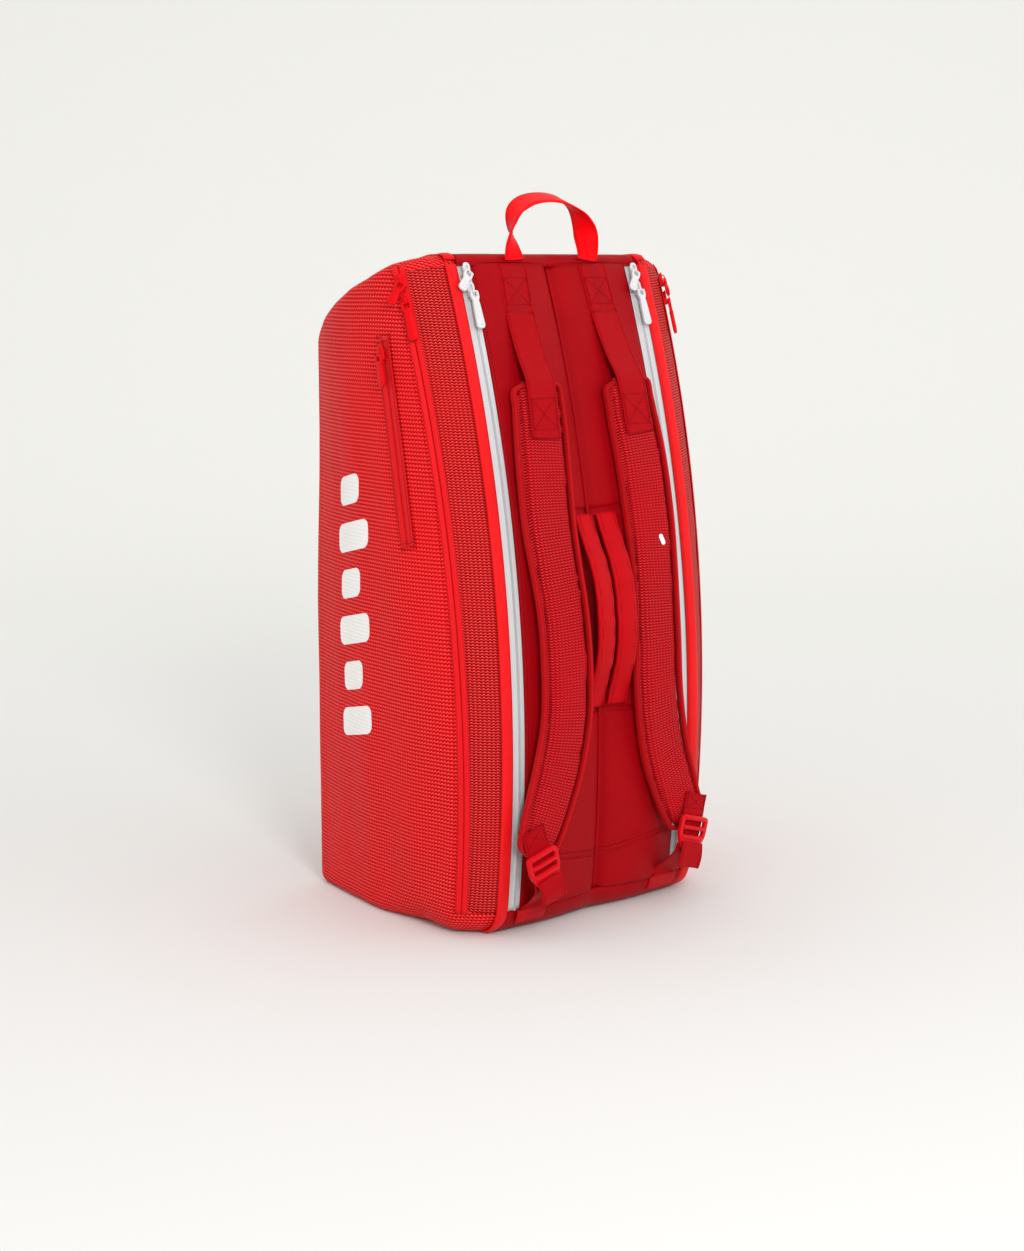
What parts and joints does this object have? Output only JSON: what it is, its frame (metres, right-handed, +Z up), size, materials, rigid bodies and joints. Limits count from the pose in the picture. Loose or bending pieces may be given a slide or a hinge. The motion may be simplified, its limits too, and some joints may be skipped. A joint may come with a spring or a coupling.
{
  "type": "racket bag",
  "caption": "Tall racket bag with four compartments on long curved zips, padded shoulder straps, paired carry handles and a webbing grab loop.",
  "frame": {"origin": "on the floor, in the middle of the bottom end's width, where the bag stands", "axes": "+Z up along the bag's length, -Y towards the shoulder straps, +Y the flat base, X across the compartments"},
  "size_m": [0.423, 0.366, 0.8211],
  "materials": {
    "side_weave": "ribbed double-layer mesh weave",
    "smooth_panel": "smooth coated cloth",
    "binding_tape": "twill binding and zip tape",
    "webbing": "ribbed woven webbing",
    "white_zip": "woven zip tape with coil teeth",
    "lining": "foam board covered in lining cloth",
    "white_metal": "white lacquer",
    "red_metal": "red lacquer",
    "red_plastic": "moulded"
  },
  "bodies": {
    "bag": {"centre_divider": "lining", "base_panel": "side_weave", "top_end_panel": "smooth_panel", "bottom_end_panel": "smooth_panel", "left_back_panel": "smooth_panel", "left_white_zip_inner_tape": "white_zip", "left_anchor_webbing": "webbing", "left_anchor_tab": "binding_tape", "left_lower_webbing": "webbing", "right_back_panel": "smooth_panel", "right_white_zip_inner_tape": "white_zip", "right_anchor_webbing": "webbing", "right_anchor_tab": "binding_tape", "right_lower_webbing": "webbing"},
    "left_wing": {"left_divider": "lining", "left_gusset": "side_weave", "left_binding": "binding_tape", "left_white_zip_outer_tape": "white_zip", "left_red_zip_inner_tape": "binding_tape"},
    "left_cover": {"left_side_panel": "side_weave", "left_red_zip_outer_tape": "binding_tape", "pocket_zip_tape": "binding_tape"},
    "left_white_upper_slider": {"left_white_upper_slider": "white_metal"},
    "left_white_upper_puller": {"left_white_upper_puller": "white_metal"},
    "left_white_lower_slider": {"left_white_lower_slider": "white_metal"},
    "left_white_lower_puller": {"left_white_lower_puller": "white_metal"},
    "left_red_upper_slider": {"left_red_upper_slider": "red_metal"},
    "left_red_upper_puller": {"left_red_upper_puller": "red_metal"},
    "left_red_lower_slider": {"left_red_lower_slider": "red_metal"},
    "left_red_lower_puller": {"left_red_lower_puller": "red_metal"},
    "left_strap": {"left_strap_webbing": "webbing", "left_strap_pad": "side_weave", "left_strap_tab": "webbing", "left_buckle": "red_plastic"},
    "left_tail": {"left_webbing_tail": "webbing"},
    "left_handle": {"left_carry_handle": "smooth_panel"},
    "right_wing": {"right_divider": "lining", "right_gusset": "side_weave", "right_binding": "binding_tape", "right_white_zip_outer_tape": "white_zip", "right_red_zip_inner_tape": "binding_tape"},
    "right_cover": {"right_side_panel": "side_weave", "right_red_zip_outer_tape": "binding_tape"},
    "right_white_upper_slider": {"right_white_upper_slider": "white_metal"},
    "right_white_upper_puller": {"right_white_upper_puller": "white_metal"},
    "right_white_lower_slider": {"right_white_lower_slider": "white_metal"},
    "right_white_lower_puller": {"right_white_lower_puller": "white_metal"},
    "right_red_upper_slider": {"right_red_upper_slider": "red_metal"},
    "right_red_upper_puller": {"right_red_upper_puller": "red_metal"},
    "right_red_lower_slider": {"right_red_lower_slider": "red_metal"},
    "right_red_lower_puller": {"right_red_lower_puller": "red_metal"},
    "right_strap": {"right_strap_webbing": "webbing", "right_strap_pad": "side_weave", "right_strap_tab": "webbing", "right_buckle": "red_plastic"},
    "right_tail": {"right_webbing_tail": "webbing"},
    "right_handle": {"right_carry_handle": "smooth_panel"},
    "grab_loop": {"grab_loop": "webbing"},
    "pocket_slider": {"pocket_slider": "red_metal"},
    "pocket_puller": {"pocket_puller": "red_metal"}
  },
  "joints": [
    {"name": "left_wing_open", "type": "hinge", "parent": "bag", "child": "left_wing", "pos_m": [-0.112, 0.168, 0.33], "axis": [0, 0, -1], "range_deg": [0, 25]},
    {"name": "left_cover_open", "type": "hinge", "parent": "left_wing", "child": "left_cover", "pos_m": [-0.1182, 0.168, 0.33], "axis": [0, 0, -1], "range_deg": [0, 30]},
    {"name": "left_white_upper_travel", "type": "hinge", "parent": "bag", "child": "left_white_upper_slider", "pos_m": [-0.126, 1.424, 0.2], "axis": [1, 0, 0], "range_deg": [0, 5.2]},
    {"name": "left_white_upper_puller_lift", "type": "hinge", "parent": "left_white_upper_slider", "child": "left_white_upper_puller", "pos_m": [-0.126, -0.0763, 0.73253], "axis": [-0.788, 0.207, 0.5798], "range_deg": [0, 110]},
    {"name": "left_white_lower_travel", "type": "hinge", "parent": "left_white_upper_slider", "child": "left_white_lower_slider", "pos_m": [-0.126, 1.424, 0.2], "axis": [1, 0, 0], "range_deg": [0, 14.5]},
    {"name": "left_white_lower_puller_lift", "type": "hinge", "parent": "left_white_lower_slider", "child": "left_white_lower_puller", "pos_m": [-0.126, -0.08362, 0.71142], "axis": [-1, 0, 0], "range_deg": [0, 110]},
    {"name": "left_red_upper_travel", "type": "hinge", "parent": "left_cover", "child": "left_red_upper_slider", "pos_m": [-0.18375, 1.424, 0.2], "axis": [0.9998, 0, 0.0197], "range_deg": [0, 8]},
    {"name": "left_red_upper_puller_lift", "type": "hinge", "parent": "left_red_upper_slider", "child": "left_red_upper_puller", "pos_m": [-0.19913, -0.04999, 0.72057], "axis": [-0.5156, 0.7362, 0.4384], "range_deg": [0, 110]},
    {"name": "left_red_lower_travel", "type": "hinge", "parent": "left_red_upper_slider", "child": "left_red_lower_slider", "pos_m": [-0.18375, 1.424, 0.2], "axis": [0.9998, 0, 0.0197], "range_deg": [0, 15.5]},
    {"name": "left_red_lower_puller_lift", "type": "hinge", "parent": "left_red_lower_slider", "child": "left_red_lower_puller", "pos_m": [-0.19872, -0.05726, 0.6995], "axis": [-0.6772, 0.6925, -0.2485], "range_deg": [0, 110]},
    {"name": "left_strap_swing", "type": "hinge", "parent": "bag", "child": "left_strap", "pos_m": [-0.064, -0.08883, 0.687], "axis": [-1, 0, 0], "range_deg": [0, 5.5], "deforming": ["left_lower_webbing"]},
    {"name": "left_tail_swing", "type": "hinge", "parent": "left_strap", "child": "left_tail", "pos_m": [-0.11142, -0.1955, 0.0715], "axis": [-0.9613, 0, -0.2756], "range_deg": [0, 100]},
    {"name": "left_handle_sway", "type": "hinge", "parent": "bag", "child": "left_handle", "pos_m": [-0.017, -0.16387, 0.248], "axis": [0, -0.0987, -0.9951], "range_deg": [-4, 9], "stiffness_Nm_per_rad": 0.1},
    {"name": "right_wing_open", "type": "hinge", "parent": "bag", "child": "right_wing", "pos_m": [0.112, 0.168, 0.33], "axis": [0, 0, 1], "range_deg": [0, 25]},
    {"name": "right_cover_open", "type": "hinge", "parent": "right_wing", "child": "right_cover", "pos_m": [0.1182, 0.168, 0.33], "axis": [0, 0, 1], "range_deg": [0, 30]},
    {"name": "right_white_upper_travel", "type": "hinge", "parent": "bag", "child": "right_white_upper_slider", "pos_m": [0.126, 1.424, 0.2], "axis": [1, 0, 0], "range_deg": [0, 5.2]},
    {"name": "right_white_upper_puller_lift", "type": "hinge", "parent": "right_white_upper_slider", "child": "right_white_upper_puller", "pos_m": [0.126, -0.0763, 0.73253], "axis": [-0.866, 0.1681, 0.4709], "range_deg": [0, 110]},
    {"name": "right_white_lower_travel", "type": "hinge", "parent": "right_white_upper_slider", "child": "right_white_lower_slider", "pos_m": [0.126, 1.424, 0.2], "axis": [1, 0, 0], "range_deg": [0, 14.5]},
    {"name": "right_white_lower_puller_lift", "type": "hinge", "parent": "right_white_lower_slider", "child": "right_white_lower_puller", "pos_m": [0.126, -0.08362, 0.71142], "axis": [-1, 0, 0], "range_deg": [0, 110]},
    {"name": "right_red_upper_travel", "type": "hinge", "parent": "right_cover", "child": "right_red_upper_slider", "pos_m": [0.18375, 1.424, 0.2], "axis": [0.9998, 0, -0.0197], "range_deg": [0, 8]},
    {"name": "right_red_upper_puller_lift", "type": "hinge", "parent": "right_red_upper_slider", "child": "right_red_upper_puller", "pos_m": [0.19913, -0.04999, 0.72057], "axis": [-0.4907, -0.288, 0.8223], "range_deg": [0, 110]},
    {"name": "right_red_lower_travel", "type": "hinge", "parent": "right_red_upper_slider", "child": "right_red_lower_slider", "pos_m": [0.18375, 1.424, 0.2], "axis": [0.9998, 0, -0.0197], "range_deg": [0, 15.5]},
    {"name": "right_red_lower_puller_lift", "type": "hinge", "parent": "right_red_lower_slider", "child": "right_red_lower_puller", "pos_m": [0.19872, -0.05726, 0.6995], "axis": [-0.6772, -0.6925, 0.2485], "range_deg": [0, 110]},
    {"name": "right_strap_swing", "type": "hinge", "parent": "bag", "child": "right_strap", "pos_m": [0.064, -0.08883, 0.687], "axis": [-1, 0, 0], "range_deg": [0, 5.5], "deforming": ["right_lower_webbing"]},
    {"name": "right_tail_swing", "type": "hinge", "parent": "right_strap", "child": "right_tail", "pos_m": [0.11142, -0.1955, 0.0715], "axis": [-0.9613, 0, 0.2756], "range_deg": [0, 100]},
    {"name": "right_handle_sway", "type": "hinge", "parent": "bag", "child": "right_handle", "pos_m": [0.017, -0.16387, 0.248], "axis": [0, 0.0987, 0.9951], "range_deg": [-4, 9], "stiffness_Nm_per_rad": 0.1},
    {"name": "grab_loop_fold", "type": "hinge", "parent": "bag", "child": "grab_loop", "pos_m": [0, -0.069, 0.745], "axis": [-1, 0, 0], "range_deg": [-90, 25], "stiffness_Nm_per_rad": 0.06},
    {"name": "pocket_travel", "type": "slide", "parent": "left_cover", "child": "pocket_slider", "axis": [-0.0028, -0.1877, -0.9822], "range_m": [0, 0.15]},
    {"name": "pocket_puller_lift", "type": "hinge", "parent": "pocket_slider", "child": "pocket_puller", "pos_m": [-0.21292, -0.02656, 0.64236], "axis": [0, 0.9822, -0.1877], "range_deg": [0, 110]}
  ]
}
